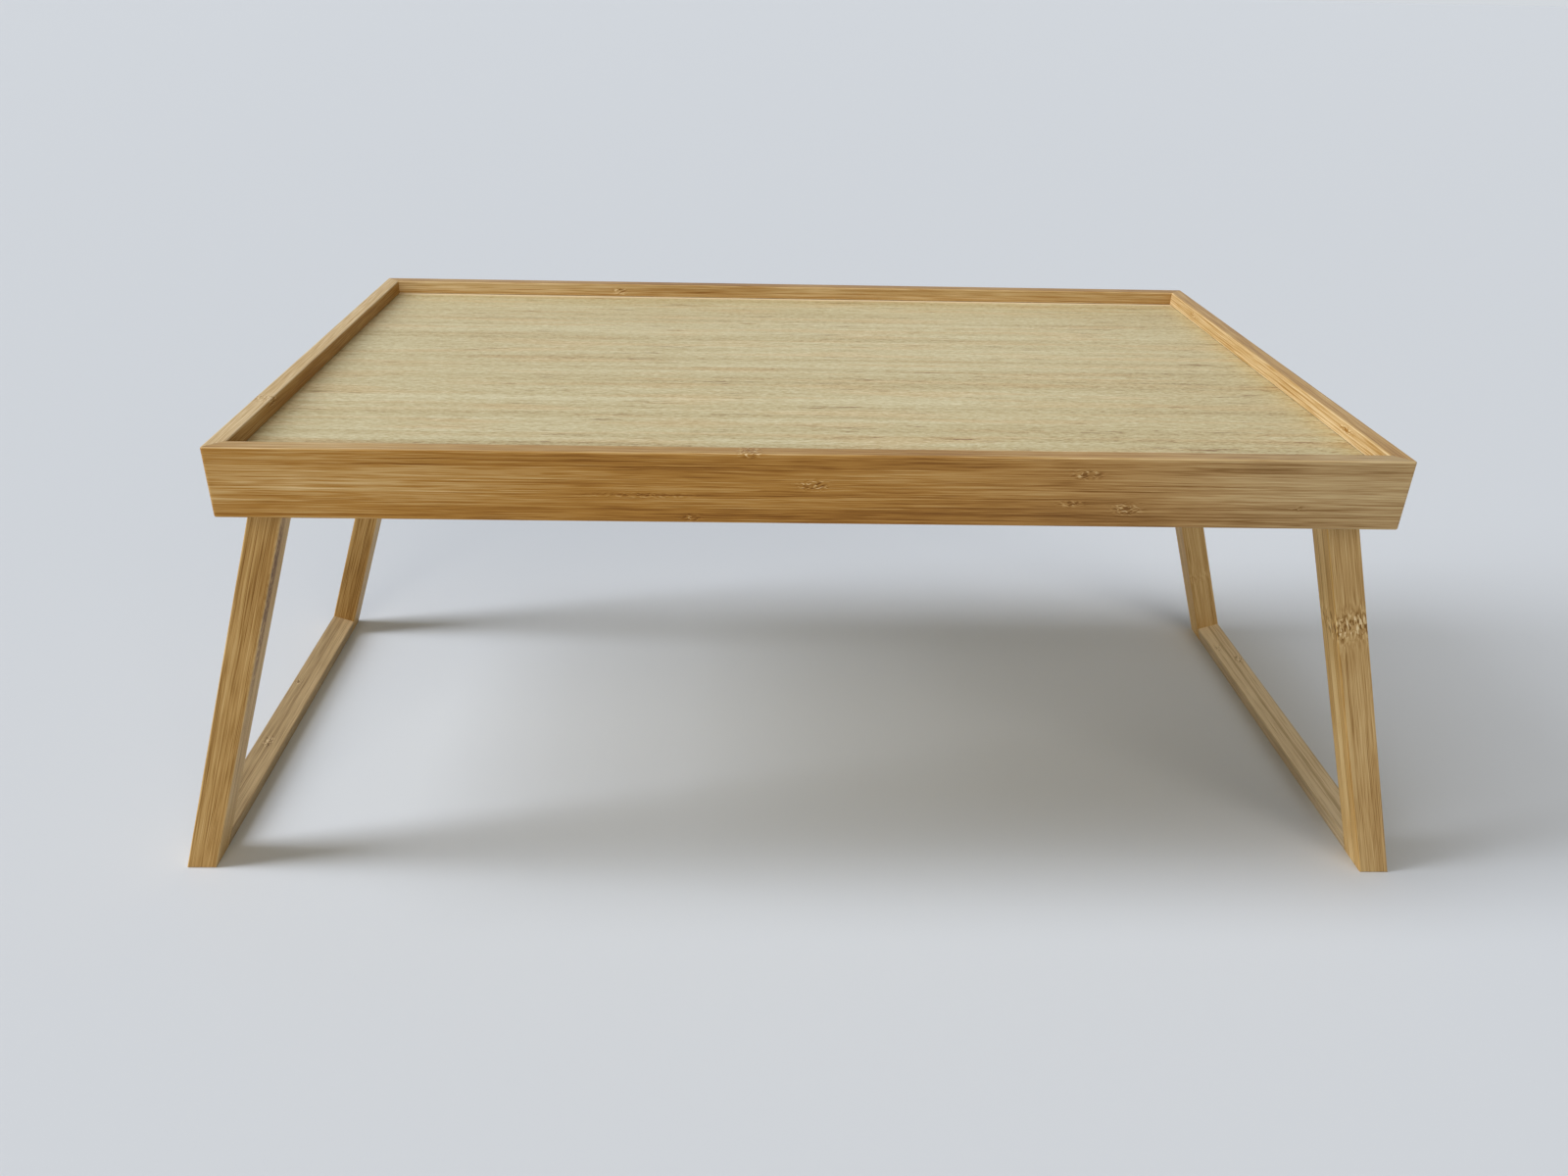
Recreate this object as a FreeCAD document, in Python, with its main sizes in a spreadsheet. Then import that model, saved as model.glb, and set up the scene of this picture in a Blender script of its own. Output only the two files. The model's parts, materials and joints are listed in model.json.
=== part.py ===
"""Folding bed tray table in laminated bamboo.

A shallow rimmed tray stands on two U-shaped leg frames.  Each frame turns on
two shank screws and folds flat into the bay under the panel.

Frame of the part: +X to the right along the long side, +Y to the back, +Z up.
The origin is on the floor, under the middle of the tray.  Legs are open.
All lengths are in millimetres and all angles in degrees.
"""
import FreeCAD
import Part
import Sketcher
import math
import os

DRIVING_SIZES = [
    # the tray as a whole
    ("tray_length", 500, "rim, outside, left to right"),
    ("tray_depth", 300, "rim, outside, front to back"),
    ("open_height", 235, "floor to the top of the rim"),
    # rim rails
    ("rail_height", 31, "height of the four rails"),
    ("rail_thick", 8, "thickness of the four rails"),
    ("rail_arris", 0.8, "rounding along the long edges of the rails"),
    ("corner_arris", 1.2, "rounding of the upright outer corners"),
    ("spline_thick", 2, "thickness of the tongue in each mitre"),
    ("spline_width", 5, "width of the tongue, half of it in each rail"),
    ("spline_stop", 2.5, "panel down to the top of the tongue"),
    # panel
    ("panel_recess", 7.5, "top of the rim down to the panel"),
    ("core_thick", 3, "plywood core of the panel"),
    ("veneer_thick", 0.5, "face veneer, above and below the core"),
    ("groove_depth", 3, "depth of the panel groove in the rails"),
    ("groove_play", 0.25, "room over the panel in its groove"),
    ("panel_play", 0.3, "room between the panel's edge and the groove's floor"),
    # cleats under the panel, inside the long rails
    ("cleat_thick", 10, "thickness of the cleat, front to back"),
    ("cleat_height", 18, "height of the cleat, down from the panel"),
    ("cleat_arris", 1.5, "rounding of the cleat's lower inner edge"),
    # legs
    ("leg_thick", 14, "leg, across the splay"),
    ("leg_width", 18, "leg, front to back"),
    ("leg_arris", 0.8, "rounding along the long edges of the legs"),
    ("splay", 18.5, "lean of the open legs from upright"),
    ("head_clearance", 2.5, "panel down to the round head of the leg"),
    ("stop_gap", 0.3, "open leg to the rail edge that stops it"),
    ("side_play", 0.3, "running gap at each side face of the leg"),
    # foot bar between the two legs of a frame
    ("bar_height", 14.5, "foot bar, measured along the outer face of the leg"),
    ("tenon_thick", 7, "stub tenon at each end of the foot bar"),
    ("tenon_length", 11, "stub tenon, into the leg"),
    ("tenon_shoulder", 2.2, "bar above the tenon, and below it where it is thinnest"),
    ("mortise_play", 0.1, "room for glue all round the tenon"),
    ("mortise_air", 0.5, "room for glue at the end of the tenon"),
    # pivots
    ("sleeve_diameter", 8, "outside of the sleeve that lines the leg"),
    ("flange_diameter", 12.6, "flange of the sleeve"),
    ("flange_thick", 1, "thickness of the flange, against the cleat"),
    ("shank_diameter", 5, "smooth shank of the pivot screw"),
    ("running_fit", 0.05, "gap all round between the shank and the sleeve"),
    ("thread_diameter", 4.2, "threaded end of the pivot screw"),
    ("rail_bite", 4, "thread beyond the cleat, into the rail"),
    ("point_length", 2.5, "pointed end of the pivot screw"),
    ("head_diameter", 9, "pan head of the pivot screw"),
    ("head_height", 2.6, "pan head of the pivot screw"),
    ("head_sink", 0.5, "head below the inner face of the leg"),
    ("washer_diameter", 10.6, "washer under the head"),
    ("washer_thick", 0.8, "washer under the head"),
    ("recess_diameter", 12, "recess in the leg for the head and its washer"),
    ("slot_width", 1.1, "arms of the cross in the head"),
    ("slot_length", 4.8, "arms of the cross in the head"),
    ("slot_depth", 1.4, "arms of the cross in the head"),
]

WORKED_OUT_SIZES = [
    ("rail_bottom", "Sizes.open_height - Sizes.rail_height"),
    ("inner_length", "Sizes.tray_length - 2 * Sizes.rail_thick"),
    ("inner_depth", "Sizes.tray_depth - 2 * Sizes.rail_thick"),
    ("panel_top", "Sizes.open_height - Sizes.panel_recess"),
    ("panel_thick", "Sizes.core_thick + 2 * Sizes.veneer_thick"),
    ("panel_under", "Places.panel_top - Places.panel_thick"),
    ("panel_tongue", "Sizes.groove_depth - Sizes.panel_play"),
    ("spline_height", "Places.panel_under - Places.rail_bottom - Sizes.spline_stop"),
    # The head of the leg is a half round about the pivot.
    ("pivot_height", "Places.panel_under - Sizes.head_clearance - Sizes.leg_thick / 2"),
    # The outer face of the open leg lies stop_gap away from the rounded lower
    # inner edge of the end rail, which is the stop of the fold.
    (
        "pivot_reach",
        "Places.inner_length / 2 + Sizes.rail_arris"
        " - (Sizes.leg_thick / 2 + Sizes.rail_arris + Sizes.stop_gap"
        " + sin(Sizes.splay * 1deg) * (Places.pivot_height - Places.rail_bottom - Sizes.rail_arris))"
        " / cos(Sizes.splay * 1deg)",
    ),
    ("frame_width", "Places.inner_depth - 2 * (Sizes.cleat_thick + Sizes.flange_thick + Sizes.side_play)"),
    ("leg_offset", "(Places.frame_width - Sizes.leg_width) / 2"),
    ("bar_length", "Places.frame_width - 2 * Sizes.leg_width"),
    # The foot is cut level, so the outer face of the leg is the longer one.
    ("foot_drop", "Places.pivot_height / cos(Sizes.splay * 1deg)"),
    ("foot_slant", "Sizes.leg_thick / 2 * tan(Sizes.splay * 1deg)"),
    ("bar_top", "Places.foot_drop + Places.foot_slant - Sizes.bar_height"),
    ("tenon_top", "Places.bar_top + Sizes.tenon_shoulder"),
    (
        "tenon_foot",
        "Places.foot_drop - Sizes.tenon_thick / 2 * tan(Sizes.splay * 1deg) - Sizes.tenon_shoulder",
    ),
    ("recess_depth", "Sizes.side_play + Sizes.washer_thick + Sizes.head_height + Sizes.head_sink"),
    ("sleeve_length", "Sizes.leg_width - Places.recess_depth"),
    (
        "shank_length",
        "Sizes.flange_thick + Places.sleeve_length + 2 * Sizes.side_play + Sizes.washer_thick",
    ),
    ("screw_bite", "Sizes.cleat_thick + Sizes.rail_bite"),
]

# which way each side and end of the table lies along X and Y
SIDES = {"left": -1, "right": 1}
ENDS = {"front": -1, "rear": 1}

doc = FreeCAD.newDocument("bed_tray_table")
sizes = doc.addObject("Spreadsheet::Sheet", "Sizes")
places = doc.addObject("App::VarSet", "Places")
sub_parts = []


# ---------------------------------------------------------------- sizes

def fill_size_sheet():
    for row, (alias, value, note) in enumerate(DRIVING_SIZES, start=1):
        sizes.set(f"A{row}", alias)
        sizes.set(f"B{row}", str(value))
        sizes.set(f"C{row}", note)
        sizes.setAlias(f"B{row}", alias)
    doc.recompute()
    for name, formula in WORKED_OUT_SIZES:
        places.addProperty("App::PropertyFloat", name, "Places")
        places.setExpression(name, formula)
        doc.recompute()


def value_of(formula):
    """The present value of a formula on the sheet's sizes."""
    return float(sizes.evalExpression(formula))


# ---------------------------------------------------------------- sketches

def new_body(name, x="0", y="0", z="0", turns=()):
    """A body whose place is bound to the sheet.

    turns lists (axis, angle formula) pairs, the first one applied last.
    """
    body = doc.addObject("PartDesign::Body", name)
    body.Label = name
    place_object(body, x, y, z, turns)
    return body


def new_group(name, pieces):
    """Several separate solids of one kind, kept together as one sub-part."""
    group = doc.addObject("Part::Compound", name)
    group.Label = name
    group.Links = pieces
    sub_parts.append(group)
    return group


def place_object(thing, x, y, z, turns=()):
    place = f"create(<<placement>>; create(<<vector>>; {x}; {y}; {z}); {turn_of(turns)})"
    thing.setExpression("Placement", place)


def turn_of(turns):
    vectors = {"X": "1; 0; 0", "Y": "0; 1; 0", "Z": "0; 0; 1"}
    parts = [
        f"create(<<rotation>>; create(<<vector>>; {vectors[axis]}); {angle})"
        for axis, angle in turns
    ]
    return " * ".join(parts) or "create(<<rotation>>; create(<<vector>>; 0; 0; 1); 0)"


def sketch_on(body, plane, name, offset="0"):
    """A sketch on one of the body's own origin planes, moved along its normal."""
    sketch = body.newObject("Sketcher::SketchObject", name)
    support = next(o for o in body.Origin.OriginFeatures if o.Role == plane)
    sketch.AttachmentSupport = (support, [""])
    sketch.MapMode = "FlatFace"
    sketch.setExpression("AttachmentOffset.Base.z", offset)
    return sketch


def pin(sketch, kind, item, point, formula):
    """Bind one coordinate of a sketch point to a formula."""
    value = value_of(formula)
    number = sketch.addConstraint(Sketcher.Constraint(kind, item, point, value))
    sketch.setExpression(f"Constraints[{number}]", formula)


def arc_between(start, end, middle):
    """The arc about middle that runs anticlockwise from start to end."""
    first, last = (math.atan2(spot.y - middle.y, spot.x - middle.x) for spot in (start, end))
    if last < first:
        last += 2 * math.pi
    circle = Part.Circle(middle, FreeCAD.Vector(0, 0, 1), (start - middle).Length)
    return Part.ArcOfCircle(circle, first, last)


def draw_outline(sketch, corners, arcs=None, hollows=()):
    """A closed outline through the corners, anticlockwise.

    corners are (x formula, y formula) pairs.  arcs maps the number of a side
    to the (x formula, y formula) of its centre; the other sides are straight.
    The arcs numbered in hollows curve inwards.
    """
    arcs = arcs or {}
    spots = [FreeCAD.Vector(value_of(x), value_of(y), 0) for x, y in corners]
    sides = []
    for number, start in enumerate(spots):
        end = spots[(number + 1) % len(spots)]
        first_point, last_point = (2, 1) if number in hollows else (1, 2)
        if number in arcs:
            middle = FreeCAD.Vector(*(value_of(c) for c in arcs[number]), 0)
            ends = (end, start) if number in hollows else (start, end)
            shape = arc_between(*ends, middle)
        else:
            shape = Part.LineSegment(start, end)
        sides.append((sketch.addGeometry(shape, False), first_point, last_point))
    for number, (item, first_point, last_point) in enumerate(sides):
        following, its_first, _ = sides[(number + 1) % len(sides)]
        sketch.addConstraint(Sketcher.Constraint("Coincident", item, last_point, following, its_first))
        pin(sketch, "DistanceX", item, first_point, corners[number][0])
        pin(sketch, "DistanceY", item, first_point, corners[number][1])
        if number in arcs:
            pin(sketch, "DistanceY", item, 3, arcs[number][1])


def draw_box(sketch, x0, y0, x1, y1):
    draw_outline(sketch, [(x0, y0), (x1, y0), (x1, y1), (x0, y1)])


def draw_circle(sketch, x, y, diameter):
    spot = FreeCAD.Vector(value_of(x), value_of(y), 0)
    circle = Part.Circle(spot, FreeCAD.Vector(0, 0, 1), value_of(diameter) / 2)
    item = sketch.addGeometry(circle, False)
    number = sketch.addConstraint(Sketcher.Constraint("Diameter", item, value_of(diameter)))
    sketch.setExpression(f"Constraints[{number}]", diameter)
    pin(sketch, "DistanceX", item, 3, x)
    pin(sketch, "DistanceY", item, 3, y)


# ---------------------------------------------------------------- features

def pad(body, sketch, length, both_ways=False):
    feature = body.newObject("PartDesign::Pad", f"{sketch.Name}_pad")
    feature.Profile = sketch
    feature.SideType = "Symmetric" if both_ways else "One side"
    feature.setExpression("Length", length)
    sketch.Visibility = False
    doc.recompute()
    return feature


def cut(body, sketch, length=None, both_ways=False, backwards=False):
    """Pocket the sketch out of the body; no length means right through."""
    before = body.Shape.Volume
    feature = body.newObject("PartDesign::Pocket", f"{sketch.Name}_cut")
    feature.Profile = sketch
    feature.SideType = "Symmetric" if both_ways else "One side"
    feature.Reversed = backwards
    if length is None:
        feature.Type = "ThroughAll"
    else:
        feature.setExpression("Length", length)
    sketch.Visibility = False
    doc.recompute()
    if body.Shape.Volume > before - 1e-6:
        raise RuntimeError(f"{feature.Name} removes nothing from {body.Label}")
    return feature


def round_edges(body, name, wanted, radius):
    """Fillet the edges of the body's tip that the test picks out."""
    tip = body.Tip
    names = [
        f"Edge{number}"
        for number, edge in enumerate(tip.Shape.Edges, start=1)
        if wanted(edge)
    ]
    feature = body.newObject("PartDesign::Fillet", name)
    feature.Base = (tip, names)
    feature.setExpression("Radius", radius)
    doc.recompute()
    return feature


def revolve(body, sketch):
    feature = body.newObject("PartDesign::Revolution", f"{sketch.Name}_turned")
    feature.Profile = sketch
    feature.ReferenceAxis = (sketch, ["V_Axis"])
    feature.Angle = 360
    sketch.Visibility = False
    doc.recompute()
    return feature


def ends_of(edge):
    """The two end points of an edge."""
    return edge.Vertexes[0].Point, edge.Vertexes[-1].Point


def lies_at(edge, axis, value):
    """True where both ends of the edge have this coordinate; axis is x, y or z."""
    return all(abs(getattr(point, axis) - value) < 1e-4 for point in ends_of(edge))


def reach_of(edge, axis):
    """How far the edge runs along one axis."""
    first, last = ends_of(edge)
    return abs(getattr(last, axis) - getattr(first, axis))


# ---------------------------------------------------------------- rim rails

RAILS = [
    # name, length formula, x and y of the outer face, turn about Z
    ("front_rail", "Sizes.tray_length", "0", "-Sizes.tray_depth / 2", 0),
    ("right_rail", "Sizes.tray_depth", "Sizes.tray_length / 2", "0", 90),
    ("rear_rail", "Sizes.tray_length", "0", "Sizes.tray_depth / 2", 180),
    ("left_rail", "Sizes.tray_depth", "-Sizes.tray_length / 2", "0", 270),
]


def make_rail(name, length, x, y, turn):
    """A mitred rail, drawn with its outer face on y = 0 and its foot on z = 0."""
    body = new_body(name, x, y, "Places.rail_bottom", [("Z", str(turn))])
    sub_parts.append(body)
    half = f"({length}) / 2"
    plan = sketch_on(body, "XY_Plane", f"{name}_plan")
    eased = "Sizes.corner_arris"
    on_mitre = f"{eased} * (1 - cos(45deg))"
    draw_outline(
        plan,
        [
            (f"-{half} + {eased}", "0"),
            (f"{half} - {eased}", "0"),
            (f"{half} - {on_mitre}", on_mitre),
            (f"{half} - Sizes.rail_thick", "Sizes.rail_thick"),
            (f"-{half} + Sizes.rail_thick", "Sizes.rail_thick"),
            (f"-{half} + {on_mitre}", on_mitre),
        ],
        arcs={1: (f"{half} - {eased}", eased), 5: (f"-{half} + {eased}", eased)},
    )
    pad(body, plan, "Sizes.rail_height")
    ease_rail(body)
    cut_panel_groove(body, name)
    cut_spline_slots(body, name, half)
    if turn in (0, 180):
        bore_for_pivots(body, name)


def ease_rail(body):
    """Round the long upper and lower edges, with the eased corners they run into."""
    height = value_of("Sizes.rail_height")
    thick = value_of("Sizes.rail_thick")
    mitre = value_of("Sizes.corner_arris * (1 - cos(45deg))")

    def runs_along(edge):
        level = lies_at(edge, "z", 0) or lies_at(edge, "z", height)
        outside = all(point.y < mitre + 1e-4 for point in ends_of(edge))
        inside = lies_at(edge, "y", thick)
        return level and (outside or inside)

    round_edges(body, f"{body.Label}_arris", runs_along, "Sizes.rail_arris")


def cut_panel_groove(body, name):
    section = sketch_on(body, "YZ_Plane", f"{name}_groove")
    low = "Places.panel_under - Places.rail_bottom"
    high = "Places.panel_top + Sizes.groove_play - Places.rail_bottom"
    draw_box(section, "Sizes.rail_thick - Sizes.groove_depth", low, "Sizes.rail_thick + 1", high)
    cut(body, section, both_ways=True)


def cut_spline_slots(body, name, half):
    """A slot across each mitre, stopped below the groove."""
    for word, sign in (("left", "-"), ("right", "")):
        slot = sketch_on(body, "XY_Plane", f"{name}_{word}_slot")
        middle_x = f"({half} - Sizes.rail_thick / 2)"
        middle_y = "Sizes.rail_thick / 2"
        along = "Sizes.spline_width / 2 * cos(45deg)"
        across = "Sizes.spline_thick / 2 * cos(45deg)"
        # x grows towards the mitre, y away from the outer face
        corners = [
            (f"{middle_x} - {along} - {across}", f"{middle_y} - {along} + {across}"),
            (f"{middle_x} - {along} + {across}", f"{middle_y} - {along} - {across}"),
            (f"{middle_x} + {along} + {across}", f"{middle_y} + {along} - {across}"),
            (f"{middle_x} + {along} - {across}", f"{middle_y} + {along} + {across}"),
        ]
        if sign:
            corners = [(f"-({x})", y) for x, y in reversed(corners)]
        draw_outline(slot, corners)
        cut(body, slot, "Places.spline_height", backwards=True)


def bore_for_pivots(body, name):
    """Blind holes in the inner face of a long rail for the ends of the screws."""
    holes = sketch_on(body, "XZ_Plane", f"{name}_bores", "-Sizes.rail_thick")
    for sign in ("-", ""):
        draw_circle(
            holes, f"{sign}Places.pivot_reach", "Places.pivot_height - Places.rail_bottom",
            "Sizes.thread_diameter",
        )
    cut(body, holes, "Sizes.rail_bite", backwards=True)


def make_corner_spline(side_word, side, end_word, end):
    """The tongue that keys one mitre, flush with the lower edge of the rim."""
    body = new_body(
        f"corner_spline_{end_word}_{side_word}",
        f"{side} * (Sizes.tray_length - Sizes.rail_thick) / 2",
        f"{end} * (Sizes.tray_depth - Sizes.rail_thick) / 2",
        "Places.rail_bottom",
        [("Z", str(-45 * side * end))],
    )
    sub_parts.append(body)
    plan = sketch_on(body, "XY_Plane", f"{body.Name}_plan")
    thick = "Sizes.spline_thick / 2"
    wide = "Sizes.spline_width / 2"
    draw_box(plan, f"-{wide}", f"-{thick}", wide, thick)
    pad(body, plan, "Places.spline_height")


# ---------------------------------------------------------------- panel

def make_panel_sheet(name, z, thick):
    """One layer of the panel; its edges stand in the grooves of the rails."""
    body = new_body(name, z=z)
    sub_parts.append(body)
    plan = sketch_on(body, "XY_Plane", f"{name}_plan")
    half_x = "Places.inner_length / 2 + Places.panel_tongue"
    half_y = "Places.inner_depth / 2 + Places.panel_tongue"
    draw_box(plan, f"-({half_x})", f"-({half_y})", half_x, half_y)
    pad(body, plan, thick)


def make_cleat(end_word, end):
    """A batten under the panel along a long rail, bored for the pivot screws."""
    middle = f"{end} * (Places.inner_depth - Sizes.cleat_thick) / 2"
    body = new_body(f"{end_word}_cleat", y=middle, z="Places.panel_under - Sizes.cleat_height")
    sub_parts.append(body)
    face = sketch_on(body, "XZ_Plane", f"{end_word}_cleat_face")
    half = "Places.inner_length / 2"
    draw_box(face, f"-{half}", "0", half, "Sizes.cleat_height")
    pad(body, face, "Sizes.cleat_thick", both_ways=True)
    bores = sketch_on(body, "XZ_Plane", f"{end_word}_cleat_bores")
    level = "Places.pivot_height - Places.panel_under + Sizes.cleat_height"
    for sign in ("-", ""):
        draw_circle(bores, f"{sign}Places.pivot_reach", level, "Sizes.thread_diameter")
    cut(body, bores, both_ways=True)
    inner = -end * value_of("Sizes.cleat_thick") / 2

    def lower_inner(edge):
        return lies_at(edge, "z", 0) and lies_at(edge, "y", inner)

    round_edges(body, f"{end_word}_cleat_arris", lower_inner, "Sizes.cleat_arris")


# ---------------------------------------------------------------- leg frames
#
# A leg frame is drawn hanging straight down from its pivot, which is the
# origin of each of its bodies, and is then turned outwards by the splay.

def place_in_frame(side, end=None):
    """Formulas for the place of a body that turns with a leg frame."""
    y = "0" if end is None else f"{end} * Places.leg_offset"
    return {
        "x": f"{side} * Places.pivot_reach",
        "y": y,
        "z": "Places.pivot_height",
        "turns": [("Y", f"-{side} * Sizes.splay")],
    }


def facing(side, x, z):
    """A corner on a leg frame's side view, with x measured outwards."""
    return f"{side} * ({x})", z


def draw_side_view(sketch, side, top):
    """The side view of an upright or a foot bar, from its top down to the level foot."""
    half = "Sizes.leg_thick / 2"
    corners = [
        facing(side, half, top),
        facing(side, f"-{half}", top),
        facing(side, f"-{half}", "-Places.foot_drop + Places.foot_slant"),
        facing(side, half, "-Places.foot_drop - Places.foot_slant"),
    ]
    draw_outline(sketch, corners if side > 0 else corners[::-1])


def make_leg(side_word, side, end_word, end):
    """An upright: half-round head about the pivot, foot cut level with the floor."""
    name = f"{side_word}_{end_word}_leg"
    body = new_body(name, **place_in_frame(side, end))
    sub_parts.append(body)
    view = sketch_on(body, "XZ_Plane", f"{name}_side")
    draw_side_view(view, side, "Sizes.leg_thick * 0.6")
    pad(body, view, "Sizes.leg_width", both_ways=True)
    ease_leg(body)
    round_head(body, name)
    bore_pivot(body, name, end)
    cut_mortise(body, name, end)


def ease_leg(body):
    """Round the four long edges of the squared stick."""
    half_width = value_of("Sizes.leg_width / 2")

    def runs_along(edge):
        on_face = lies_at(edge, "y", half_width) or lies_at(edge, "y", -half_width)
        return on_face and reach_of(edge, "z") > 1

    round_edges(body, f"{body.Label}_arris", runs_along, "Sizes.leg_arris")


def round_head(body, name):
    """Cut the squared top of the stick down to a half round about the pivot."""
    half = "Sizes.leg_thick / 2"
    clear = "Sizes.leg_thick"
    waste = sketch_on(body, "XZ_Plane", f"{name}_head")
    draw_outline(
        waste,
        [
            (half, "0"), (clear, "0"), (clear, clear),
            (f"-{clear}", clear), (f"-{clear}", "0"), (f"-{half}", "0"),
        ],
        arcs={5: ("0", "0")}, hollows=(5,),
    )
    cut(body, waste, both_ways=True)


def bore_pivot(body, name, end):
    """The bore for the sleeve, and the recess for the screw head inside the frame."""
    bore = sketch_on(body, "XZ_Plane", f"{name}_bore")
    draw_circle(bore, "0", "0", "Sizes.sleeve_diameter")
    cut(body, bore, both_ways=True)
    recess = sketch_on(body, "XZ_Plane", f"{name}_recess", f"{end} * Sizes.leg_width / 2")
    draw_circle(recess, "0", "0", "Sizes.recess_diameter")
    cut(body, recess, "Places.recess_depth", backwards=end < 0)


def draw_tenon(sketch, play):
    """The section of the stub tenon, or of its mortise with the play all round."""
    half = f"(Sizes.tenon_thick / 2 + {play})"
    draw_box(sketch, f"-{half}", f"-Places.tenon_foot - {play}", half, f"-Places.tenon_top + {play}")


def cut_mortise(body, name, end):
    """The blind mortise in the inner face of the leg for the tenon of the foot bar."""
    mortise = sketch_on(body, "XZ_Plane", f"{name}_mortise", f"{end} * Sizes.leg_width / 2")
    draw_tenon(mortise, "Sizes.mortise_play")
    cut(body, mortise, "Sizes.tenon_length + Sizes.mortise_air", backwards=end < 0)


def make_foot_bar(side_word, side):
    """The bar on the floor between the uprights, flush with them, tenoned at both ends."""
    name = f"{side_word}_foot_bar"
    body = new_body(name, **place_in_frame(side))
    sub_parts.append(body)
    view = sketch_on(body, "XZ_Plane", f"{name}_section")
    draw_side_view(view, side, "-Places.bar_top")
    pad(body, view, "Places.bar_length", both_ways=True)
    top = -value_of("Places.bar_top")

    def upper(edge):
        return lies_at(edge, "z", top) and reach_of(edge, "y") > 1

    round_edges(body, f"{name}_arris", upper, "Sizes.leg_arris")
    section = sketch_on(body, "XZ_Plane", f"{name}_tenon")
    draw_tenon(section, "0")
    pad(body, section, "Places.bar_length + 2 * Sizes.tenon_length", both_ways=True)


# ---------------------------------------------------------------- pivots
#
# The pieces of a pivot are turned about their own Z axis, which points from
# the inner face of the cleat, z = 0, towards the middle of the tray.

def new_pivot_body(name, side, end, with_leg=False):
    across = "-90" if end < 0 else "90"
    turns = [("X", across)]
    if with_leg:
        turns.insert(0, ("Y", f"-{side} * Sizes.splay"))
    face = f"{end} * (Places.inner_depth / 2 - Sizes.cleat_thick)"
    return new_body(name, f"{side} * Places.pivot_reach", face, "Places.pivot_height", turns)


def make_sleeve(side_word, side, end_word, end):
    """The flanged sleeve that lines the leg and bears on the cleat."""
    name = f"{side_word}_pivot_sleeve_{end_word}"
    body = new_pivot_body(name, side, end, with_leg=True)
    profile = sketch_on(body, "XZ_Plane", f"{name}_profile")
    bore = "Sizes.shank_diameter / 2 + Sizes.running_fit"
    start = "Sizes.side_play"
    flange = f"{start} + Sizes.flange_thick"
    draw_outline(
        profile,
        [
            (bore, start),
            ("Sizes.flange_diameter / 2", start),
            ("Sizes.flange_diameter / 2", flange),
            ("Sizes.sleeve_diameter / 2", flange),
            ("Sizes.sleeve_diameter / 2", f"{flange} + Places.sleeve_length"),
            (bore, f"{flange} + Places.sleeve_length"),
        ],
    )
    revolve(body, profile)
    return body


def make_screw(side_word, side, end_word, end):
    """The pivot screw: thread in cleat and rail, smooth shank, crossed pan head."""
    name = f"{side_word}_pivot_screw_{end_word}"
    body = new_pivot_body(name, side, end)
    profile = sketch_on(body, "XZ_Plane", f"{name}_profile")
    head = "Places.shank_length"
    crown = "Sizes.head_height / 2"
    draw_outline(
        profile,
        [
            ("0", "-Places.screw_bite"),
            ("Sizes.thread_diameter / 2", "-Places.screw_bite + Sizes.point_length"),
            ("Sizes.thread_diameter / 2", "0"),
            ("Sizes.shank_diameter / 2", "0"),
            ("Sizes.shank_diameter / 2", head),
            ("Sizes.head_diameter / 2", head),
            ("Sizes.head_diameter / 2", f"{head} + {crown}"),
            (f"Sizes.head_diameter / 2 - {crown}", f"{head} + Sizes.head_height"),
            ("0", f"{head} + Sizes.head_height"),
        ],
    )
    revolve(body, profile)
    cross = sketch_on(body, "XY_Plane", f"{name}_cross", f"{head} + Sizes.head_height")
    arm = "Sizes.slot_length / 2"
    half = "Sizes.slot_width / 2"
    draw_outline(
        cross,
        [
            (arm, f"-{half}"), (arm, half), (half, half), (half, arm),
            (f"-{half}", arm), (f"-{half}", half), (f"-{arm}", half), (f"-{arm}", f"-{half}"),
            (f"-{half}", f"-{half}"), (f"-{half}", f"-{arm}"), (half, f"-{arm}"), (half, f"-{half}"),
        ],
    )
    cut(body, cross, "Sizes.slot_depth")
    return body


def make_washer(side_word, side, end_word, end):
    """The washer under the screw head, in the recess of the leg."""
    name = f"{side_word}_pivot_washer_{end_word}"
    body = new_pivot_body(name, side, end)
    level = "Places.shank_length - Sizes.washer_thick"
    plan = sketch_on(body, "XY_Plane", f"{name}_plan", level)
    draw_circle(plan, "0", "0", "Sizes.washer_diameter")
    draw_circle(plan, "0", "0", "Sizes.shank_diameter")
    pad(body, plan, "Sizes.washer_thick")
    return body


def make_pair(kind, make, side_word, side):
    """The front and the rear piece of one kind at the pivots of one leg frame."""
    pieces = [make(side_word, side, end_word, end) for end_word, end in ENDS.items()]
    new_group(f"{side_word}_pivot_{kind}", pieces)


# ---------------------------------------------------------------- the table

def make_tray():
    for rail in RAILS:
        make_rail(*rail)
    core = "Places.panel_under + Sizes.veneer_thick"
    make_panel_sheet("panel_core", core, "Sizes.core_thick")
    make_panel_sheet("panel_bottom_veneer", "Places.panel_under", "Sizes.veneer_thick")
    make_panel_sheet("panel_top_veneer", f"{core} + Sizes.core_thick", "Sizes.veneer_thick")
    for end_word, end in ENDS.items():
        make_cleat(end_word, end)
        for side_word, side in SIDES.items():
            make_corner_spline(side_word, side, end_word, end)
    for side_word, side in SIDES.items():
        make_pair("screws", make_screw, side_word, side)
        make_pair("washers", make_washer, side_word, side)


def make_leg_frame(side_word, side):
    for end_word, end in ENDS.items():
        make_leg(side_word, side, end_word, end)
    make_foot_bar(side_word, side)
    make_pair("sleeves", make_sleeve, side_word, side)


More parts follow.
